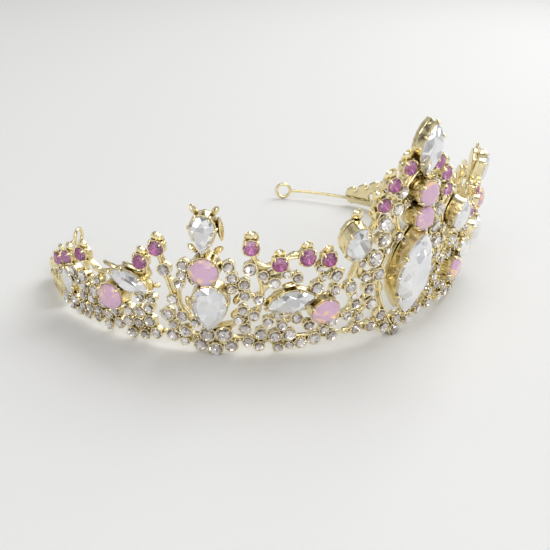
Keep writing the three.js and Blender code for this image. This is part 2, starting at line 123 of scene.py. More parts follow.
# Small stones: angle round the band, height, stone width
MIDDLE_CUPS = [(0, 1.6, 3.3), (0, 5.2, 2.7)]
CENTRE_CUPS = [
    (5, 41.9, 3.4), (5.4, 37.4, 3.3), (8.3, 34.3, 3.9), (3.8, 29.9, 2.9), (7.8, 29.7, 3.9),
    (9.3, 24.8, 4.1), (7.6, 20.2, 3.3), (11.2, 20.2, 2.6), (9.7, 16.5, 2.9), (14.4, 17.9, 3.2),
    (8.6, 12, 3.3), (5.3, 7.7, 2.9), (12.6, 12.9, 2.6), (11.4, 8.8, 2.6), (3.8, 3.6, 3.1),
    (7.8, 5, 2.9), (14.5, 9.8, 2.6), (11.7, 5.3, 2.9), (11.6, 28.2, 2.4), (6.3, 26.6, 2.3),
    (12.4, 24.2, 2.2), (3.2, 38.4, 2), (13.4, 15.2, 2),
]
SIDE_CUPS = [
    (18.1, 21.8, 3.2), (22.2, 19, 3.2), (18, 17.8, 2.6), (26.6, 22, 2.6), (31.3, 20.9, 2.8),
    (36.5, 24.6, 3.2), (40.8, 25, 2.8), (40.1, 22.1, 2.6), (37.5, 20.4, 2.6), (40, 19, 2.4),
    (37.4, 17.3, 2.6), (50.3, 24.3, 2.8), (50.6, 21.6, 2.5), (51.2, 19, 2.5), (54.4, 22.4, 3.2),
    (34.4, 16.3, 2.6), (35.3, 11.7, 2.8), (32.3, 9.9, 2.6), (30.1, 11.9, 2.6), (29.2, 8.8, 2.6),
    (26.1, 10.7, 2.9), (23.3, 8.3, 2.6), (17.9, 8.7, 2.6), (37.7, 13.2, 2.4), (37.1, 8, 2.9),
    (33.7, 6.5, 2.9), (30.6, 5.7, 3), (27.5, 6.1, 3.2), (24.8, 3.4, 2.9), (21.7, 4.3, 3.2),
    (17.7, 4.6, 2.9), (33.9, 2.9, 2.6), (29.8, 2.4, 2.4), (45.2, 5.6, 3.6), (41.6, 6, 3.9),
    (46.6, 2.6, 3.4), (40, 2.8, 3.2), (43.4, 1.5, 3.4), (50.7, 10.1, 2.8), (52.7, 14.7, 2.8),
    (50.1, 5.8, 2.8), (54.1, 10.1, 3.2), (52.9, 4.3, 3.2), (21.9, 24.4, 2.2), (33.8, 23, 2.4),
    (29, 23.3, 2.2), (20.7, 21.7, 2), (48.2, 20.8, 2.2), (47.9, 8.7, 2.4), (38.6, 10.4, 2.4),
    (27.2, 3, 2.2), (36.4, 4.2, 2.6), (50.2, 3, 2.2), (52.8, 7.4, 2.4), (19.7, 6.6, 2.3),
]
OUTER_CUPS = [
    (58.4, 10.7, 2.6), (60.7, 9.3, 2.8), (63.4, 8.8, 2.6), (58.3, 7, 2.8), (61, 6, 2.6),
    (63.7, 5.6, 2.8), (56.9, 3.8, 2.8), (59.7, 2.7, 2.6), (62.9, 2.4, 2.8), (66.3, 4.1, 2.8),
    (67.1, 7.4, 2.6), (69.3, 5.7, 2.6), (70.7, 8.6, 2.6), (73, 11.4, 2.8), (72, 6, 2.6),
    (73.9, 8.7, 2.6), (76.1, 14.4, 3.2), (76, 11.4, 2.6), (74.6, 5.5, 2.8), (79.5, 14.6, 3.2),
    (76.8, 8.6, 2.6), (77.2, 5.2, 2.6), (80, 6.1, 2.8), (82.7, 6.7, 3), (84.3, 4.4, 3),
    (69.4, 2.6, 2.6), (81.4, 3.7, 2.6), (85.4, 11.7, 2.6), (60.3, 13.4, 2.4), (78.2, 12.1, 2.3),
    (71.4, 14.8, 2.3), (78.6, 3, 2.3), (75.9, 3, 2.2), (72.7, 3.4, 2.3), (57.6, 13.4, 2.2),
]
# Open gilt stems, as runs of (angle, height) on the band surface
CENTRE_STEMS = [
    [(0, 47.4), (2.7, 44.7), (4.7, 39.9), (4.8, 33.8), (3.6, 31.4)],
    [(3.6, 30.1), (6.7, 24.5), (7.2, 18), (4.9, 9.5), (0, 2.2)],
    [(8.7, 39.3), (10.5, 32.9), (12.6, 26.4), (14.1, 20.8)],
]
SIDE_STEMS = [
    [(36.2, 28.8), (34.8, 23.9), (33.7, 18.5), (34.4, 13), (37.1, 9.3)],
    [(45.5, 29.4), (45.1, 22.2)],
    [(50.2, 23.3), (51.8, 17.8), (51.5, 12.5), (48.2, 8.4), (43.8, 7.5), (39.5, 8.9), (37.6, 12.6)],
    [(55.6, 27.6), (55.4, 25.1), (54.1, 19.9), (52.7, 14.7)],
    [(20.3, 26.8), (18.8, 23.9), (18, 21.9)],
    [(24.9, 27.2), (27.6, 27.8), (30.4, 26.2), (33.4, 24.6), (35.6, 26.4)],
]
OUTER_STEMS = [
    [(59.6, 22.8), (58.4, 19.8), (62.6, 20.4), (67.5, 18.4), (71.1, 17), (75.7, 19.8)],
    [(80.9, 17.6), (79.2, 14.7)],
    [(85.2, 15), (83.8, 12.2), (84.2, 8.2)],
]

# Gilt leaves and hoods that stand between the stones: (angle, height, width, length, roll)
CENTRE_LEAVES = [
    (4.4, 50.6, 3.6, 3.6, -30), (8, 46.4, 3.8, 3.6, -36), (10, 41.4, 3.6, 3.6, -40),
    (10.9, 37, 2.2, 4.2, -24), (12.2, 21.6, 2, 4.4, -12), (6.2, 15.6, 2, 4.2, -16),
    (9.8, 14.4, 1.8, 3.4, 60), (14.6, 37.2, 3.4, 3.4, -10), (13.2, 26.6, 1.8, 3.8, 30),
]
SIDE_LEAVES = [
    (20.3, 28.6, 3, 3.2, 6), (24.9, 30, 3, 3.2, 0), (30.5, 28.1, 3, 3.2, -8),
    (36.4, 32.5, 3.6, 4, 0), (43.6, 39, 1.6, 2.8, 30), (48, 39, 1.6, 2.8, -30),
    (42.6, 34.4, 1.6, 7, -6), (55.8, 30.1, 3.8, 4, -4), (43, 28.9, 1.8, 3.2, 50),
    (48.2, 28.9, 1.8, 3.2, -50), (31.6, 23.5, 1.8, 3.6, 70), (39, 15.8, 1.8, 3.6, 24),
    (49.3, 13.6, 1.8, 4.4, -14), (39.2, 11.8, 2, 3.8, 40), (27.8, 19.9, 1.6, 4.4, 76),
    (23.6, 15.4, 1.8, 3, 20),
]
OUTER_LEAVES = [
    (59.6, 25.7, 3.6, 3.6, -6), (75.6, 23.2, 3.2, 3.2, -6), (80.8, 20.5, 3.2, 3.2, -10),
    (85.2, 18.2, 3.2, 3.2, -14), (62.2, 21.2, 1.4, 6, 101), (67.4, 20, 1.4, 6, 102),
    (71.8, 17.6, 2, 3.8, 100), (83.6, 9, 1.8, 3.6, 40), (73.4, 14.6, 1.8, 3.2, -50),
]
# Solder joints between neighbouring castings, and between a tail and its eye: angle, height, out
SOLDER = [
    (16, 4.4, 0), (16.1, 9.2, 0), (16.2, 17.8, 0), (16.6, 22.4, 0), (55.1, 4.2, 0),
    (55.6, 9.6, 0), (56.6, 17, 0), (87, 4.2, 0), (87.2, 10.6, 0), (94.4, 3.1, -1.4),
    (98.6, 3.1, -1.4), (102.6, 3.1, -1.4),
]
RAIL_HEIGHT = 4.4
RAIL_RUNS = {"centre": (-14, 14), "side": (17.6, 53.6), "outer": (56.8, 85)}
TAIL_START, TAIL_END = 88.1, 104.0
TAIL_TOP, TAIL_TIP, TAIL_BOTTOM = 11.4, 4.2, 2.0
BAY_COUNT = 4
EYE_ANGLE = 128.5
EYE_RADIUS = 2.5
EYE_WIRE = 0.6
EYE_SHANK_START = 93.0
EYE_SHANK_INSET = -1.85


# ---- The band surface ----


def reach_at(angle, height):
    """Distance from the plan's centre, in millimetres."""
    past = max(0.0, abs(angle) - TUCK_START) / TUCK_SPAN
    return BAND_RADIUS + FLARE * height - TUCK * past ** TUCK_CURVE


def band_point(angle, height, out=0.0):
    """A point on the band, or out millimetres in front of it, in metres."""
    turn = radians(angle)
    reach = reach_at(angle, height)
    outward = Vector((sin(turn), -cos(turn), -FLARE)).normalized()
    place = Vector((reach * sin(turn), PLAN_SHIFT - reach * cos(turn), height))
    return (place + outward * out) * MM


def band_frame(angle, height, out=0.0, roll=0.0, lean=0.0):
    """X runs round the band, Y up it and Z outwards; lean tips the top outwards."""
    turn = radians(angle)
    across = Vector((cos(turn), sin(turn), 0))
    outward = Vector((sin(turn), -cos(turn), -FLARE)).normalized()
    upward = outward.cross(across)
    axes = Matrix((across, upward, outward)).transposed().to_4x4()
    axes.translation = band_point(angle, height, out)
    return axes @ Matrix.Rotation(radians(lean), 4, "X") @ Matrix.Rotation(radians(roll), 4, "Z")


def stone_frame(stone, side):
    return band_frame(side * stone.angle, stone.height, stone.lift, side * stone.roll, stone.lean)


def outline_point(shape, width, length, turn):
    """One point of a stone's outline; a pear's point is at the bottom."""
    across, along = cos(turn), sin(turn)
    if shape == "navette":
        arc = (length * length + width * width) / (4 * width)
        y = length / 2 * along
        x = sqrt(max(arc * arc - y * y, 0)) - arc + width / 2
        return Vector((x if across > 0 else -x, y, 0))
    if shape == "pear":
        swell = sqrt((1 + along) / 2) * (1.25 - 0.15 * along)
        return Vector((width / 2 * across * swell, length / 2 * along, 0))
    return Vector((width / 2 * across, length / 2 * along, 0))


# ---- Handling of objects ----


def pick(*objects):
    """Selects only these objects and makes the first one active."""
    bpy.ops.object.select_all(action="DESELECT")
    for item in objects:
        item.select_set(True)
    bpy.context.view_layer.objects.active = objects[0]


def apply_modifier(item, kind, **settings):
    pick(item)
    modifier = item.modifiers.new(kind.title(), kind)
    for key, value in settings.items():
        setattr(modifier, key, value)
    bpy.ops.object.modifier_apply(modifier=modifier.name)


def wire(runs, radius, name, smooth=False):
    """Round wires, radius millimetres thick, through each run of points."""
    path = bpy.data.curves.new(name, "CURVE")
    path.dimensions = "3D"
    path.bevel_depth = radius * MM
    path.bevel_resolution = 2
    path.use_fill_caps = True
    for run in runs:
        spline = path.splines.new("NURBS" if smooth else "POLY")
        spline.points.add(len(run) - 1)
        for point, place in zip(spline.points, run):
            point.co = (*place, 1)
        if smooth:
            spline.order_u = 3
            spline.resolution_u = 5
            spline.use_endpoint_u = True
    item = bpy.data.objects.new(name, path)
    bpy.context.scene.collection.objects.link(item)
    pick(item)
    bpy.ops.object.convert(target="MESH")
    return bpy.context.active_object


def copies(template, frames):
    """A copy of the template, with its own mesh, at each place."""
    made = []
    for place in frames:
        item = bpy.data.objects.new(template.name, template.data.copy())
        bpy.context.scene.collection.objects.link(item)
        item.data.transform(place)
        made.append(item)
    return made


def joined(parts, name):
    pick(*parts)
    if len(parts) > 1:
        bpy.ops.object.join()
    item = bpy.context.active_object
    item.name = name
    item.data.name = name
    return item


def discard(item):
    bpy.data.objects.remove(item, do_unlink=True)


# Angles between faces, in degrees, up to which a piece is shaded smooth
RIDGED, CRISP, SOFT, ROUND = 35, 40, 60, 80


def hand_in(item, material, smooth_angle=None):
    """Gives a piece its finish and its body."""
    item.data.materials.clear()
    item.data.materials.append(material)
    pick(item)
    if smooth_angle is None:
        bpy.ops.object.shade_flat()
    else:
        bpy.ops.object.shade_smooth_by_angle(angle=radians(smooth_angle))
    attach(item, "root")
    bpy.ops.object.select_all(action="DESELECT")


def panel_stones():
    """The accent stones of each casting, with the side that each is on."""
    panels = {"centre": [(stone, 1) for stone in CENTRE_STONES]}
    for label, side in SIDES:
        panels[f"{label}_side"] = []
        panels[f"{label}_outer"] = []
        for stone in HALF_STONES:
            if stone.angle < CENTRE_REACH:
                panels["centre"].append((stone, side))
            elif stone.angle < SIDE_REACH:
                panels[f"{label}_side"].append((stone, side))
            else:
                panels[f"{label}_outer"].append((stone, side))
    return panels


def panel_cups():
    """The small stones of each casting, as (angle with its sign, height, width)."""
    panels = {"centre": list(MIDDLE_CUPS)}
    for label, side in SIDES:
        panels["centre"] += [(side * a, h, w) for a, h, w in CENTRE_CUPS]
        panels[f"{label}_side"] = [(side * a, h, w) for a, h, w in SIDE_CUPS]
        panels[f"{label}_outer"] = [(side * a, h, w) for a, h, w in OUTER_CUPS]
    return panels


def node_of(stone, side):
    if stone in CENTRE_STONES:
        return stone.name
    return f"{'left' if side < 0 else 'right'}_{stone.name}"


# ---- Materials ----


def add_node(tree, kind, **settings):
    node = tree.nodes.new(kind)
    for key, value in settings.items():
        setattr(node, key, value)
    return node


def noise(tree, coordinates="Object", **inputs):
    """A noise texture with the inputs given; returns its node."""
    place = add_node(tree, "ShaderNodeTexCoord")
    texture = add_node(tree, "ShaderNodeTexNoise")
    for key, value in inputs.items():
        texture.inputs[key].default_value = value
    tree.links.new(place.outputs[coordinates], texture.inputs["Vector"])
    return texture


def remapped(tree, value, low, high):
    """A mask that rises from 0 to 1 while the value goes from low to high."""
    ramp = add_node(tree, "ShaderNodeMapRange")
    ramp.inputs["From Min"].default_value = low
    ramp.inputs["From Max"].default_value = high
    tree.links.new(value, ramp.inputs["Value"])
    return ramp.outputs["Result"]


MIX_FIRST, MIX_SECOND, MIX_RESULT = 6, 7, 2      # colour sockets of a Mix node


def mixed(tree, mask, first, second, blend_type="MIX"):
    """The first colour where the mask is 0 and the second where it is 1; each is a socket or a tuple."""
    mix = add_node(tree, "ShaderNodeMix", data_type="RGBA", blend_type=blend_type)
    tree.links.new(mask, mix.inputs["Factor"])
    for index, colour in ((MIX_FIRST, first), (MIX_SECOND, second)):
        if isinstance(colour, tuple):
            mix.inputs[index].default_value = colour
        else:
            tree.links.new(colour, mix.inputs[index])
    return mix.outputs[MIX_RESULT]


def new_group(name, inputs, outputs):
    """An empty shader group with named sockets: (name, socket type, default)."""
    group = bpy.data.node_groups.new(name, "ShaderNodeTree")
    for label, kind, default in inputs:
        socket = group.interface.new_socket(label, in_out="INPUT", socket_type=kind)
        socket.default_value = default
    for label, kind in outputs:
        group.interface.new_socket(label, in_out="OUTPUT", socket_type=kind)
    return group, group.nodes.new("NodeGroupInput"), group.nodes.new("NodeGroupOutput")


def cast_skin_group():
    """Polished plate over a casting: soft lumps, thin plating, rubbed edges, and painted shade that darkens
    its recesses.
    """
    group, source, sink = new_group(
        "Cast skin",
        [
            ("Plate", "NodeSocketColor", (0.8, 0.66, 0.36, 1)),
            ("Thin plate", "NodeSocketColor", (0.7, 0.6, 0.4, 1)),
            # Painted shade: this dark colour is laid over the plate where the metal is enclosed
            ("Recess", "NodeSocketColor", (0.27, 0.2, 0.07, 1)),
            ("Roughness", "NodeSocketFloat", 0.2),
            ("Lump scale", "NodeSocketFloat", 600.0),
            ("Lump height", "NodeSocketFloat", 0.25),
        ],
        [("Color", "NodeSocketColor"), ("Roughness", "NodeSocketFloat"), ("Normal", "NodeSocketVector")],
    )
    link = group.links.new
    lumps = noise(group, Detail=3)
    link(source.outputs["Lump scale"], lumps.inputs["Scale"])
    grain = noise(group, Scale=2600)
    geometry = add_node(group, "ShaderNodeNewGeometry")
    # Ambient occlusion finds the hollows that get the painted shade
    painted_shade_ao = add_node(group, "ShaderNodeAmbientOcclusion")
    painted_shade_ao.inputs["Distance"].default_value = 0.0022
    patches = remapped(group, lumps.outputs["Fac"], 0.48, 0.72)
    rubbed = remapped(group, geometry.outputs["Pointiness"], 0.51, 0.6)
    # Mask of the painted shade: 0 deep in the hollows, where the dark colour replaces the plate, and 1 in
    # the open
    depth = remapped(group, painted_shade_ao.outputs["AO"], 0.12, 0.75)
    tone = mixed(group, patches, source.outputs["Plate"], source.outputs["Thin plate"])
    bright = mixed(group, rubbed, tone, (0.12, 0.12, 0.1, 1), "ADD")
    # Lays the painted shade into the hollows
    shade = mixed(group, depth, source.outputs["Recess"], bright)
    link(shade, sink.inputs["Color"])
    rough = add_node(group, "ShaderNodeMath", operation="MULTIPLY_ADD")
    rough.inputs[1].default_value = 0.16
    link(grain.outputs["Fac"], rough.inputs[0])
    link(source.outputs["Roughness"], rough.inputs[2])
    link(rough.outputs[0], sink.inputs["Roughness"])
    height = add_node(group, "ShaderNodeMath", operation="MULTIPLY_ADD")
    height.inputs[1].default_value = 0.12
    link(grain.outputs["Fac"], height.inputs[0])
    link(lumps.outputs["Fac"], height.inputs[2])
    bump = add_node(group, "ShaderNodeBump")
    bump.inputs["Distance"].default_value = 0.0004
    link(source.outputs["Lump height"], bump.inputs["Strength"])
    link(height.outputs[0], bump.inputs["Height"])
    link(bump.outputs["Normal"], sink.inputs["Normal"])
    return group


def sparkle_group():
    """Breaks a mirror into small flat facets, each turned its own way."""
    group, source, sink = new_group(
        "Sparkle",
        [("Facet scale", "NodeSocketFloat", 1500.0), ("Tilt", "NodeSocketFloat", 0.8)],
        [("Normal", "NodeSocketVector")],
    )
    link = group.links.new
    place = add_node(group, "ShaderNodeTexCoord")
    cells = add_node(group, "ShaderNodeTexVoronoi")
    link(place.outputs["Object"], cells.inputs["Vector"])
    link(source.outputs["Facet scale"], cells.inputs["Scale"])
    centred = add_node(group, "ShaderNodeVectorMath", operation="SUBTRACT")
    centred.inputs[1].default_value = (0.5, 0.5, 0.5)
    link(cells.outputs["Color"], centred.inputs[0])
    tilted = add_node(group, "ShaderNodeVectorMath", operation="SCALE")
    link(centred.outputs[0], tilted.inputs[0])
    link(source.outputs["Tilt"], tilted.inputs["Scale"])
    geometry = add_node(group, "ShaderNodeNewGeometry")
    added = add_node(group, "ShaderNodeVectorMath", operation="ADD")
    link(geometry.outputs["Normal"], added.inputs[0])
    link(tilted.outputs[0], added.inputs[1])
    unit = add_node(group, "ShaderNodeVectorMath", operation="NORMALIZE")
    link(added.outputs[0], unit.inputs[0])
    link(unit.outputs[0], sink.inputs["Normal"])
    return group


def stone_tone_group():
    """Slow change of colour from stone to stone and inside a stone."""
    group, source, sink = new_group(
        "Stone tone",
        [
            ("Light", "NodeSocketColor", (1, 1, 1, 1)),
            ("Deep", "NodeSocketColor", (0.8, 0.8, 0.8, 1)),
            ("Scale", "NodeSocketFloat", 200.0),
        ],
        [("Color", "NodeSocketColor")],
    )
    cloud = noise(group, Detail=1)
    group.links.new(source.outputs["Scale"], cloud.inputs["Scale"])
    spread = remapped(group, cloud.outputs["Fac"], 0.38, 0.62)
    tone = mixed(group, spread, source.outputs["Light"], source.outputs["Deep"])
    group.links.new(tone, sink.inputs["Color"])
    return group


def new_material(name, **constants):
    """A material and its shader, with the constant sockets set on the shader itself."""
    material = bpy.data.materials.new(name)
    material.use_nodes = True
    shader = material.node_tree.nodes["Principled BSDF"]
    for key, value in constants.items():
        shader.inputs[key.replace("_", " ")].default_value = value
    return material, shader


def place_group(material, group, **values):
    node = material.node_tree.nodes.new("ShaderNodeGroup")
    node.node_tree = group
    for key, value in values.items():
        node.inputs[key.replace("_", " ")].default_value = value
    return node


def gilt_material(name, group, plate, thin, roughness, lump_height):
    material, shader = new_material(name, Metallic=1.0)
    skin = place_group(material, group, Plate=plate, Thin_plate=thin, Roughness=roughness,
                       Lump_height=lump_height)
    link = material.node_tree.links.new
    link(skin.outputs["Color"], shader.inputs["Base Color"])
    link(skin.outputs["Roughness"], shader.inputs["Roughness"])
    link(skin.outputs["Normal"], shader.inputs["Normal"])
    return material


def stone_material(name, group, light, deep, scale, **constants):
    material, shader = new_material(name, **constants)
    tone = place_group(material, group, Light=light, Deep=deep, Scale=scale)
    material.node_tree.links.new(tone.outputs["Color"], shader.inputs["Base Color"])
    return material


def opal_material(look):
    """Milky glass with a veil of warm colour that crosses each stone in a streak."""
    material, shader = new_material("Opal glass", Roughness=0.1, IOR=1.5, Coat_Weight=0.7,
                                    Subsurface_Weight=0.2, Subsurface_Scale=0.002)
    tree = material.node_tree
    streak = noise(tree, Scale=330, Detail=2, Distortion=1.2)
    veil = remapped(tree, streak.outputs["Fac"], 0.53, 0.62)
    tone = mixed(tree, veil, (*look.opal, 1), (*look.opal_glow, 1))
    tree.links.new(tone, shader.inputs["Base Color"])
    return material


THIN_PLATE = (0.86, 0.84, 0.8)         # tone of thin plating, as shares of the gold's


def build_materials(look):
    skin = cast_skin_group()
    tone = stone_tone_group()
    sparkle = sparkle_group()
    gold = (*look.gold, 1)
    thin = (*(part * share for part, share in zip(look.gold, THIN_PLATE)), 1)
    finishes = {
        "casting": gilt_material("Gilt casting", skin, gold, thin, roughness=0.16, lump_height=0.35),
        "claw": gilt_material("Gilt claws", skin, gold, thin, roughness=0.1, lump_height=0.15),
        "wire": gilt_material("Gilt wire", skin, gold, thin, roughness=0.12, lump_height=0.12),
        "crystal": stone_material("Clear crystal", tone, (1, 1, 1, 1), (0.95, 0.96, 0.98, 1), 180,
                                  Roughness=0.02, IOR=1.55, Metallic=0.6, Transmission_Weight=0.3,
                                  Coat_Weight=1.0),
        "foil": stone_material("Silver foil", tone, (1, 1, 1, 1), (0.94, 0.95, 0.97, 1), 160,
                               Roughness=0.18, Metallic=0.3),
        "amethyst": stone_material("Amethyst glass", tone, (*look.amethyst, 1), (*look.amethyst_deep, 1),
                                   260, Roughness=0.02, IOR=1.5, Transmission_Weight=0.9),
        "opal": opal_material(look),
        "rhinestone": stone_material("Rhinestone", tone, (0.99, 0.96, 0.95, 1), (0.6, 0.55, 0.52, 1), 420,
                                     Roughness=0.04, Metallic=0.8, Coat_Weight=0.6),
    }
    for name, scale, tilt in (("rhinestone", 1400, 0.95), ("crystal", 300, 0.75), ("amethyst", 900, 0.4)):
        tree = finishes[name].node_tree
        facets = place_group(finishes[name], sparkle, Facet_scale=scale, Tilt=tilt)
        tree.links.new(facets.outputs["Normal"], tree.nodes["Principled BSDF"].inputs["Normal"])
    return finishes


# ---- Properties ----


class TiaraLook(PropertyGroup):
    gold: FloatVectorProperty(name="Gold", description="Colour of the gold plate", subtype="COLOR",
                              default=(0.91, 0.79, 0.48), min=0, max=1)
    amethyst: FloatVectorProperty(name="Amethyst", description="Light tone of the amethyst glass",
                                  subtype="COLOR", default=(0.86, 0.5, 0.74), min=0, max=1)
    amethyst_deep: FloatVectorProperty(name="Deep amethyst", description="Deep tone of the amethyst glass",
                                       subtype="COLOR", default=(0.7, 0.32, 0.56), min=0, max=1)
    opal: FloatVectorProperty(name="Opal", description="Milky tone of the opal glass", subtype="COLOR",
                              default=(0.7, 0.46, 0.62), min=0, max=1)
    opal_glow: FloatVectorProperty(name="Opal glow", description="Warm tone inside the opal glass",
                                   subtype="COLOR", default=(0.98, 0.66, 0.42), min=0, max=1)
    floor: FloatVectorProperty(name="Floor", description="Colour of the floor", subtype="COLOR",
                               default=(0.785, 0.785, 0.775), min=0, max=1)


class TiaraSizes(PropertyGroup):
    cast_voxel: FloatProperty(name="Casting grain", description="Cell of the casting's skin, in millimetres",
                              default=0.3, min=0.2, max=1)
    wall: FloatProperty(name="Bezel wall", description="Wall of a bezel, in millimetres", default=0.34,
                        min=0.2, max=0.8)
    cup_sides: IntProperty(name="Cup sides", description="Sides of a small stone's cup", default=10, min=6,
                           max=24)
    claw: FloatProperty(name="Claw", description="Half width of a claw, in millimetres", default=0.42,
                        min=0.2, max=1)
    piping: FloatProperty(name="Piping", description="Radius of the piping on the stems, in millimetres",
                          default=0.42, min=0.2, max=0.8)
    bead_step: FloatProperty(name="Bead step", default=1.15, min=0.6, max=4,
                             description="Distance between the bottom rail's beads, in millimetres")
    seed: IntProperty(name="Seed", description="Chooses how the small stones are turned", default=7, min=0)


MATERIALS = {}


class TIARA_OT_materials(Operator):
    """Makes the gold, glass, foil and opal finishes"""

    bl_idname = "tiara.materials"
    bl_label = "Finishes"

    def execute(self, context):
        MATERIALS.update(build_materials(context.scene.tiara_look))
        return {"FINISHED"}


# ---- Castings ----


WELD = 0.00001               # the CAD triangles' corners are merged within this distance, in metres
SHANK_STEPS = 14
EYE_VOXEL = 0.16


def softened(node, voxel):
    """A copy of a CAD casting, welded and given the rounded skin of cast metal."""
    pick(NODES[node])
    item = NODES[node].copy()
    item.data = NODES[node].data.copy()
    for key in list(item.keys()):
        del item[key]
    item.parent = None
    bpy.context.scene.collection.objects.link(item)
    pick(item)
    bpy.ops.object.mode_set(mode="EDIT")
    bpy.ops.mesh.select_all(action="SELECT")
    bpy.ops.mesh.remove_doubles(threshold=WELD)
    bpy.ops.object.mode_set(mode="OBJECT")
    apply_modifier(item, "REMESH", mode="VOXEL", voxel_size=voxel * MM, adaptivity=0)
    apply_modifier(item, "SMOOTH", factor=0.5, iterations=4)
    return item


class TIARA_OT_castings(Operator):
    """Gives the seven castings their rounded, cast skin"""

    bl_idname = "tiara.castings"
    bl_label = "Castings"

    def execute(self, context):
        voxel = context.scene.tiara_sizes.cast_voxel
        for node in [name for name in NODES if name.endswith("_casting")]:
            item = softened(node, voxel)
            item.name = f"{node}_skin"
            hand_in(item, MATERIALS["casting"], SOFT)
            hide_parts(node)
        return {"FINISHED"}


class TIARA_OT_eye_wires(Operator):
    """Bends the two eye wires: a shank along the tail and a round eye"""

    bl_idname = "tiara.eye_wires"
    bl_label = "Eye wires"

    def execute(self, context):
        for label, side in SIDES:
            middle = shank_point(side * EYE_ANGLE)
            ahead = middle - shank_point(side * (EYE_ANGLE - 1))
            bpy.ops.mesh.primitive_torus_add(
                major_radius=EYE_RADIUS * MM, minor_radius=EYE_WIRE * MM, major_segments=40,
                minor_segments=12, location=middle, rotation=(pi / 2, 0, atan2(ahead.y, ahead.x)))
            ring = bpy.context.active_object
            bpy.ops.object.transform_apply(location=True, rotation=True, scale=True)
            sweep = EYE_ANGLE - EYE_SHANK_START
            points = [shank_point(side * (EYE_SHANK_START + sweep * i / SHANK_STEPS))
                      for i in range(SHANK_STEPS + 1)]
            points[-1] = middle - ahead.normalized() * EYE_RADIUS * MM
            shank = wire([points], EYE_WIRE, "shank")
            item = joined([ring, shank], f"{label}_eye_wire_skin")
            apply_modifier(item, "REMESH", mode="VOXEL", voxel_size=EYE_VOXEL * MM, adaptivity=0)
            apply_modifier(item, "SMOOTH", factor=0.5, iterations=5)
            hand_in(item, MATERIALS["wire"], SOFT)
            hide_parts(f"{label}_eye_wire")
        return {"FINISHED"}


def shank_point(angle):
    """Middle of the eye's wire, behind the tail, in metres."""
    height = EYE_RADIUS + EYE_WIRE
    reach = reach_at(angle, height) + EYE_SHANK_INSET
    return Vector((reach * sin(radians(angle)), PLAN_SHIFT - reach * cos(radians(angle)), height)) * MM


# ---- Settings of the accent stones ----


def rise(distance, across, along):
    """Extrudes the selected face outwards and resizes it round the stone's middle."""
    bpy.ops.mesh.extrude_region_move(TRANSFORM_OT_translate={"value": (0, 0, distance)})
    bpy.ops.transform.resize(value=(across, along, 1), center_override=(0, 0, 0))


FOOT_SHARE = 1.07            # a bezel is this much wider where it stands on the plate
FOOT_SINK = 0.2              # it starts this deep in the plate
FOOT_FOLLOW = 0.9            # share of a stone's lift that its bezel is made taller by
BEZEL_SIDES = 28
BELLY = 0.4                  # share of the bezel's height where it is narrowest
LIP = 0.3                    # inner edge of the rim, in wall thicknesses past the stone


def bezel_template(stone, wall):
    """A cup that follows the stone's outline, with a well for its pavilion."""
    width, length = stone.width * MM, stone.length * MM
    bpy.ops.mesh.primitive_circle_add(vertices=BEZEL_SIDES, radius=width, fill_type="NGON")
    item = bpy.context.active_object
    for vertex in item.data.vertices:
        vertex.co = outline_point(stone.shape, width, length, atan2(vertex.co.y, vertex.co.x))
    foot = (PLATE_FRONT - FOOT_SINK - FOOT_FOLLOW * stone.lift) * MM
    girdle = (PLATE_FRONT + STONE_GAP + stone.width * PAVILION) * MM
    rim = wall * MM
    item.data.transform(Matrix.Translation((0, 0, foot)) @ Matrix.Diagonal((FOOT_SHARE, FOOT_SHARE, 1, 1)))
    bpy.ops.object.mode_set(mode="EDIT")
    bpy.ops.mesh.select_all(action="SELECT")
    rise((girdle - foot) * BELLY, 1 / FOOT_SHARE, 1 / FOOT_SHARE)
    rise((girdle - foot) * (1 - BELLY), (width + 2 * rim) / width, (length + 2 * rim) / length)
    rise(0, (width + LIP * rim) / (width + 2 * rim), (length + LIP * rim) / (length + 2 * rim))
    rise(-(stone.width * PAVILION + 0.1) * MM, 0.08, 0.08)
    bpy.ops.mesh.select_all(action="SELECT")
    bpy.ops.mesh.normals_make_consistent(inside=False)
    bpy.ops.object.mode_set(mode="OBJECT")
    return item


CLAW_TURNS = {
    "round": (45, 135, 225, 315),
    "oval": (38, 142, 218, 322),
    "navette": (90, 270, 28, 152, 208, 332),
    "pear": (270, 20, 160, 62, 118),
}


CLAW_DROP = 0.25             # middle of a claw, below the top of the girdle
CLAW_LEAN = -24
CLAW_SHAPE = (0.85, 0.9, 2.3)


def claw_frames(stone, claw):
    """Places of the claws in the stone's own frame: at the girdle, tipped in over the crown."""
    girdle = PLATE_FRONT + STONE_GAP + stone.width * (PAVILION + GIRDLE)
    frames = []
    for turn in CLAW_TURNS[stone.shape]:
        edge = outline_point(stone.shape, stone.width + claw, stone.length + claw, radians(turn))
        facing = atan2(edge.y, edge.x)
        place = Matrix.Translation(Vector((edge.x, edge.y, girdle - CLAW_DROP)) * MM)
        frames.append(place @ Matrix.Rotation(facing, 4, "Z") @ Matrix.Rotation(radians(CLAW_LEAN), 4, "Y"))
    return frames


def claw_template(claw):
    bpy.ops.mesh.primitive_uv_sphere_add(segments=8, ring_count=6, radius=claw * MM)
    item = bpy.context.active_object
    item.data.transform(Matrix.Diagonal((*CLAW_SHAPE, 1)))
    return item


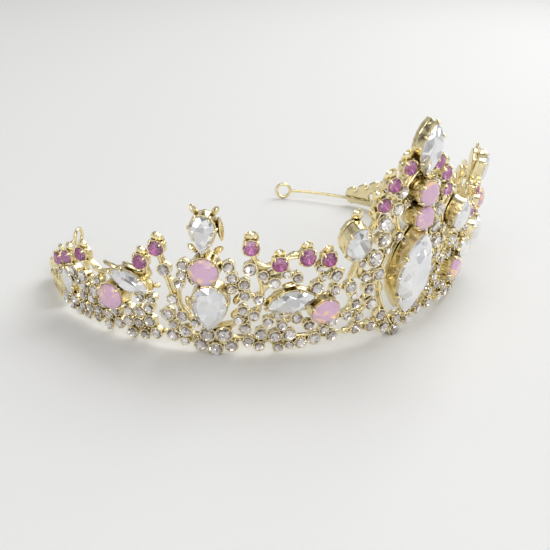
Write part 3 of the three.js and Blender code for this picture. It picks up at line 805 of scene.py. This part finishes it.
class TIARA_OT_settings(Operator):
    """Makes the bezels and claws of the accent stones, one piece of each for every casting"""

    bl_idname = "tiara.settings"
    bl_label = "Bezels and claws"

    def execute(self, context):
        sizes = context.scene.tiara_sizes
        claw = claw_template(sizes.claw)
        templates = {stone.name: bezel_template(stone, sizes.wall) for stone in CENTRE_STONES + HALF_STONES}
        for panel, stones in panel_stones().items():
            bezels = []
            claws = []
            for stone, side in stones:
                place = stone_frame(stone, side)
                bezels += copies(templates[stone.name], [place])
                claws += copies(claw, [place @ local for local in claw_frames(stone, sizes.claw)])
            item = joined(bezels, f"{panel}_bezels")
            apply_modifier(item, "BEVEL", width=0.07 * MM, segments=2, limit_method="ANGLE",
                           angle_limit=radians(35))
            hand_in(item, MATERIALS["claw"], CRISP)
            hand_in(joined(claws, f"{panel}_claws"), MATERIALS["claw"], ROUND)
        for item in [claw, *templates.values()]:
            discard(item)
        return {"FINISHED"}


class TIARA_OT_accent_stones(Operator):
    """Gives the accent stones their glass and lays a foil behind each"""

    bl_idname = "tiara.accent_stones"
    bl_label = "Accent stones"
    # """Gives the accent stones their glass and lays a foil behind each one that is not an opal"""

    def execute(self, context):
        for panel, stones in panel_stones().items():
            foils = []
            for stone, side in stones:
                node = NODES[node_of(stone, side)]
                finish = next((kind for kind in ("amethyst", "opal") if kind in stone.name), "crystal")
                node.data.materials.clear()
                node.data.materials.append(MATERIALS[finish])
                if finish != "opal":
                    foils.append(foil_of(node, stone_frame(stone, side), stone))
            if foils:
                hand_in(joined(foils, f"{panel}_foils"), MATERIALS["foil"])
        return {"FINISHED"}


def foil_of(node, place, stone):
    """The back of a stone, cut off at its girdle and moved out by a hair as its foil."""
    item = bpy.data.objects.new("foil", node.data.copy())
    bpy.context.scene.collection.objects.link(item)
    pick(item)
    cut = place @ Vector((0, 0, (PLATE_FRONT + STONE_GAP + stone.width * PAVILION * 0.98) * MM))
    outward = place.to_3x3() @ Vector((0, 0, 1))
    bpy.ops.object.mode_set(mode="EDIT")
    bpy.ops.mesh.select_all(action="SELECT")
    bpy.ops.mesh.remove_doubles(threshold=WELD)
    bpy.ops.mesh.bisect(plane_co=cut, plane_no=outward, clear_outer=True)
    bpy.ops.object.mode_set(mode="OBJECT")
    apply_modifier(item, "SOLIDIFY", thickness=0.06 * MM, offset=1.3)
    return item


# ---- Small stones ----


CUP_TOP = 1.35               # rim of a small cup, outwards from the band surface
CUP_FOOT = 0.3
CUP_RADIUS = 0.54            # shape of a cup, for a stone 1 mm wide
CUP_FLARE = 1.12
CUP_RIM = 0.1
CUP_WELL = 0.3
BEADS_PER_CUP = 4
RIM_BEAD = (0.3, 0.26, 0.42)
STONE_TILT = 7               # small stones sit up to this many degrees askew


def cup_template(sides):
    """A cup for a stone 1 mm wide; each copy is scaled to its stone."""
    bpy.ops.mesh.primitive_cylinder_add(vertices=sides, radius=CUP_RADIUS, depth=1, end_fill_type="NGON")
    item = bpy.context.active_object
    bpy.ops.object.mode_set(mode="EDIT")
    bpy.ops.mesh.select_all(action="DESELECT")
    bpy.ops.object.mode_set(mode="OBJECT")
    for face in item.data.polygons:
        face.select = face.normal.z > 0.9
    bpy.ops.object.mode_set(mode="EDIT")
    bpy.ops.transform.resize(value=(CUP_FLARE, CUP_FLARE, 1), center_override=(0, 0, 0))
    bpy.ops.mesh.inset(thickness=CUP_RIM, depth=0)
    bpy.ops.mesh.inset(thickness=CUP_RIM, depth=-CUP_WELL)
    bpy.ops.object.mode_set(mode="OBJECT")
    return item


def brilliant_template():
    """A small brilliant, 1 mm wide, with a table and two rows of crown facets."""
    bpy.ops.mesh.primitive_cylinder_add(vertices=8, radius=0.5, depth=0.08, end_fill_type="NGON")
    item = bpy.context.active_object
    for up in (True, False):
        for face in item.data.polygons:
            face.select = (face.normal.z > 0.9) if up else (face.normal.z < -0.9)
        bpy.ops.object.mode_set(mode="EDIT")
        if up:
            rise(0.13, 0.78, 0.78)
            bpy.ops.transform.rotate(value=radians(-22.5), orient_axis="Z", center_override=(0, 0, 0))
            rise(0.07, 0.7, 0.7)
        else:
            rise(-0.3, 0.1, 0.1)
        bpy.ops.object.mode_set(mode="OBJECT")
        for face in item.data.polygons:
            face.select = False
    bpy.ops.object.mode_set(mode="EDIT")
    bpy.ops.mesh.select_all(action="SELECT")
    bpy.ops.mesh.quads_convert_to_tris()
    bpy.ops.object.mode_set(mode="OBJECT")
    return item


def bead_template():
    bpy.ops.mesh.primitive_ico_sphere_add(subdivisions=1, radius=1)
    return bpy.context.active_object


class TIARA_OT_cups(Operator):
    """Makes the cast cups of the small stones with four beads on each rim"""

    bl_idname = "tiara.cups"
    bl_label = "Cups"

    def execute(self, context):
        sizes = context.scene.tiara_sizes
        cup = cup_template(sizes.cup_sides)
        bead = bead_template()
        rng = random.Random(sizes.seed)
        depth = CUP_TOP - CUP_FOOT
        for panel, spots in panel_cups().items():
            cups = []
            beads = []
            for angle, height, width in spots:
                roll = rng.uniform(0, 90)
                place = band_frame(angle, height, (CUP_TOP + CUP_FOOT) / 2, roll)
                cups += copies(cup, [place @ Matrix.Diagonal((width * MM, width * MM, depth * MM, 1))])
                for i in range(BEADS_PER_CUP):
                    corner = Matrix.Rotation(2 * pi / BEADS_PER_CUP * i + pi / 4, 4, "Z")
                    at = Matrix.Translation(Vector((width * 0.5, 0, depth / 2 + 0.1)) * MM)
                    size = Matrix.Diagonal((*(part * MM for part in RIM_BEAD), 1))
                    beads += copies(bead, [place @ corner @ at @ size])
            hand_in(joined(cups, f"{panel}_cups"), MATERIALS["claw"], CRISP)
            hand_in(joined(beads, f"{panel}_beads"), MATERIALS["claw"], ROUND)
        discard(cup)
        discard(bead)
        return {"FINISHED"}


class TIARA_OT_rhinestones(Operator):
    """Sets a small brilliant in every cup"""

    bl_idname = "tiara.rhinestones"
    bl_label = "Rhinestones"

    def execute(self, context):
        brilliant = brilliant_template()
        rng = random.Random(context.scene.tiara_sizes.seed + 1)
        for panel, spots in panel_cups().items():
            stones = []
            for angle, height, width in spots:
                place = band_frame(angle, height, CUP_TOP, rng.uniform(0, 90),
                                   rng.uniform(-STONE_TILT, STONE_TILT))
                stones += copies(brilliant, [place @ Matrix.Scale(width * MM, 4)])
            hand_in(joined(stones, f"{panel}_rhinestones"), MATERIALS["rhinestone"])
        discard(brilliant)
        return {"FINISHED"}


# ---- Ornaments ----


LEAF_SINK = 0.5              # a leaf starts this far behind the plate's front
LEAF_LEAN = 8
LEAF_THICKNESS = 1.4
RAIL_BEAD = 0.42
SOLDER_LUMP = (1.3, 1, 0.8)


def leaf_template():
    """A pointed leaf with a ridge, 1 mm wide and 1 mm long."""
    bpy.ops.mesh.primitive_circle_add(vertices=12, radius=1, fill_type="NGON")
    item = bpy.context.active_object
    for vertex in item.data.vertices:
        vertex.co = outline_point("navette", 0.999, 1, atan2(vertex.co.y, vertex.co.x))
    bpy.ops.object.mode_set(mode="EDIT")
    bpy.ops.mesh.select_all(action="SELECT")
    rise(0.4, 0.8, 0.86)
    rise(0.3, 0.2, 0.6)
    bpy.ops.mesh.select_all(action="SELECT")
    bpy.ops.mesh.normals_make_consistent(inside=False)
    bpy.ops.object.mode_set(mode="OBJECT")
    return item


def tail_plan():
    """The tail's rails, vine and leaves as (angle, height) runs and leaf rows, for the positive side."""
    bay = (TAIL_END - TAIL_START) / BAY_COUNT
    upper, lower, vine, leaves = [], [], [], []
    for i in range(BAY_COUNT + 1):
        angle = TAIL_START + bay * i
        height = TAIL_TOP + (TAIL_TIP - TAIL_TOP) * i / BAY_COUNT
        upper.append((angle, height))
        lower.append((angle, TAIL_BOTTOM))
        vine.append((angle, TAIL_BOTTOM if i % 2 else height))
        if i:
            leaves.append((angle, height + 1.1, 2.4, 5, 36))
            leaves.append((angle - bay / 2, (TAIL_BOTTOM + height) / 2, 2.4, 5, -36 if i % 2 else 36))
    return [upper, lower, vine], leaves


def ornament_plan():
    """For every casting: its stems as runs of (angle, height) and its leaves."""
    tail_runs, tail_leaves = tail_plan()
    middle = [[(side * a, h) for a, h in run] for run in CENTRE_STEMS for _, side in SIDES]
    plan = {"centre": (middle, [(side * a, h, w, l, side * r) for a, h, w, l, r in CENTRE_LEAVES
                                for _, side in SIDES])}
    for label, side in SIDES:
        halves = (("side", SIDE_STEMS, SIDE_LEAVES), ("outer", OUTER_STEMS, OUTER_LEAVES),
                  ("tail", tail_runs, tail_leaves))
        for part, runs, leaves in halves:
            plan[f"{label}_{part}"] = ([[(side * a, h) for a, h in run] for run in runs],
                                       [(side * a, h, w, l, side * r) for a, h, w, l, r in leaves])
    return plan


class TIARA_OT_ornaments(Operator):
    """Adds the round piping on the stems and rails and the leaves between the stones"""

    bl_idname = "tiara.ornaments"
    bl_label = "Piping and leaves"

    def execute(self, context):
        sizes = context.scene.tiara_sizes
        leaf = leaf_template()
        for panel, (runs, leaves) in ornament_plan().items():
            lines = [[band_point(angle, height, PLATE_FRONT) for angle, height in run] for run in runs]
            piping = wire(lines, sizes.piping, f"{panel}_piping", smooth=True)
            hand_in(piping, MATERIALS["wire"], SOFT)
            frames = [band_frame(angle, height, PLATE_FRONT - LEAF_SINK, roll, LEAF_LEAN)
                      @ Matrix.Diagonal((width * MM, length * MM, LEAF_THICKNESS * MM, 1))
                      for angle, height, width, length, roll in leaves]
            hand_in(joined(copies(leaf, frames), f"{panel}_leaves"), MATERIALS["claw"], RIDGED)
        discard(leaf)
        return {"FINISHED"}


class TIARA_OT_beading(Operator):
    """Adds the row of beads along the bottom rail and the solder joints between the castings"""

    bl_idname = "tiara.beading"
    bl_label = "Beading and solder"

    def execute(self, context):
        bead = bead_template()
        rows = {"centre": RAIL_RUNS["centre"]}
        for label, side in SIDES:
            for part in ("side", "outer"):
                rows[f"{label}_{part}"] = tuple(side * angle for angle in RAIL_RUNS[part])
        for panel, (start, end) in rows.items():
            length = abs(end - start) * radians(1) * BAND_RADIUS
            count = round(length / context.scene.tiara_sizes.bead_step)
            spots = [start + (end - start) * i / count for i in range(count + 1)]
            frames = [band_frame(angle, RAIL_HEIGHT, PLATE_FRONT + 0.1) @ Matrix.Scale(RAIL_BEAD * MM, 4)
                      for angle in spots]
            hand_in(joined(copies(bead, frames), f"{panel}_beading"), MATERIALS["claw"], ROUND)
        for label, side in SIDES:
            lump = Matrix.Diagonal((*(part * MM for part in SOLDER_LUMP), 1))
            frames = [band_frame(side * angle, height, out) @ lump for angle, height, out in SOLDER]
            item = joined(copies(bead, frames), f"{label}_solder")
            apply_modifier(item, "SUBSURF", levels=1)
            hand_in(item, MATERIALS["casting"], ROUND)
        discard(bead)
        return {"FINISHED"}


# ---- Stage ----


class TIARA_OT_camera(Operator):
    """Places the camera"""

    bl_idname = "tiara.camera"
    bl_label = "Camera"

    def execute(self, context):
        azimuth, elevation, roll = radians(-39.48), radians(24.83), radians(2.57)
        distance = 209.3 * MM
        target = Vector((-30.8, -52.27 + PLAN_SHIFT, 20)) * MM
        back = Vector((sin(azimuth) * cos(elevation), -cos(azimuth) * cos(elevation), sin(elevation)))
        data = bpy.data.cameras.new("Camera")
        data.lens = 55.64
        data.sensor_width = 36
        data.clip_start = 0.01
        camera = bpy.data.objects.new("Camera", data)
        bpy.context.scene.collection.objects.link(camera)
        turn = back.to_track_quat("Z", "Y").to_matrix().to_4x4() @ Matrix.Rotation(roll, 4, "Z")
        camera.matrix_world = Matrix.Translation(target + back * distance) @ turn
        context.scene.camera = camera
        return {"FINISHED"}


# Lamps: name, place and target in metres, size, power in watts
LAMPS = [
    ("key", (0.62, 0.1, 0.72), (0, 0, 0), (0.85, 0.85), 6.2),
    ("fill", (-0.7, -0.3, 0.9), (0, 0, 0), (0.6, 0.6), 2),
    ("front", (-0.35, -0.75, 0.45), (0, 0, 0.02), (0.5, 0.3), 2),
]
FLOOR_SIZE = 6
FLOOR_DROP = 0.0002          # the floor lies this far below the solids, in metres


def soft_light(name, place, target, size, power):
    data = bpy.data.lights.new(name, "AREA")
    data.shape = "RECTANGLE"
    data.size, data.size_y = size
    data.energy = power
    light = bpy.data.objects.new(name, data)
    bpy.context.scene.collection.objects.link(light)
    light.location = place
    light.rotation_euler = (Vector(target) - Vector(place)).to_track_quat("-Z", "Y").to_euler()


def room():
    """A room with pale patches and dark gaps, for the metal and the facets to mirror."""
    world = bpy.data.worlds.new("World")
    world.use_nodes = True
    tree = world.node_tree
    patches = noise(tree, "Generated", Scale=2.6, Detail=2)
    light = remapped(tree, patches.outputs["Fac"], 0.39, 0.51)
    tone = mixed(tree, light, (0.07, 0.065, 0.06, 1), (1, 1, 1, 1))
    tree.links.new(tone, tree.nodes["Background"].inputs["Color"])
    tree.nodes["Background"].inputs["Strength"].default_value = 0.62
    return world


class TIARA_OT_stage(Operator):
    """Makes the pale floor and the soft studio light"""

    bl_idname = "tiara.stage"
    bl_label = "Stage"

    def execute(self, context):
        bpy.ops.mesh.primitive_plane_add(size=FLOOR_SIZE, location=(0, 0, -FLOOR_DROP))
        floor = context.active_object
        floor.name = "floor"
        material, shader = new_material("Floor", Roughness=0.7)
        shader.inputs["Base Color"].default_value = (*context.scene.tiara_look.floor, 1)
        floor.data.materials.append(material)
        for lamp in LAMPS:
            soft_light(*lamp)
        context.scene.world = room()
        context.scene.view_settings.view_transform = "Standard"
        return {"FINISHED"}


class TIARA_PT_panel(Panel):
    """Lists the steps that build the tiara"""

    bl_idname = "TIARA_PT_panel"
    bl_label = "Bridal tiara"
    bl_space_type = "VIEW_3D"
    bl_region_type = "UI"
    bl_category = "Tiara"

    def draw(self, context):
        for step in STEPS:
            self.layout.operator(step.bl_idname)


STEPS = (
    TIARA_OT_camera,
    TIARA_OT_materials,
    TIARA_OT_stage,
    TIARA_OT_castings,
    TIARA_OT_eye_wires,
    TIARA_OT_settings,
    TIARA_OT_accent_stones,
    TIARA_OT_cups,
    TIARA_OT_rhinestones,
    TIARA_OT_ornaments,
    TIARA_OT_beading,
)


def register():
    for item in (TiaraLook, TiaraSizes, *STEPS, TIARA_PT_panel):
        bpy.utils.register_class(item)
    bpy.types.Scene.tiara_look = PointerProperty(type=TiaraLook)
    bpy.types.Scene.tiara_sizes = PointerProperty(type=TiaraSizes)


def unregister():
    del bpy.types.Scene.tiara_sizes
    del bpy.types.Scene.tiara_look
    for item in reversed((TiaraLook, TiaraSizes, *STEPS, TIARA_PT_panel)):
        bpy.utils.unregister_class(item)


def main():
    register()
    for step in STEPS:
        group, name = step.bl_idname.split(".")
        getattr(getattr(bpy.ops, group), name)()


if __name__ == "__main__":
    main()
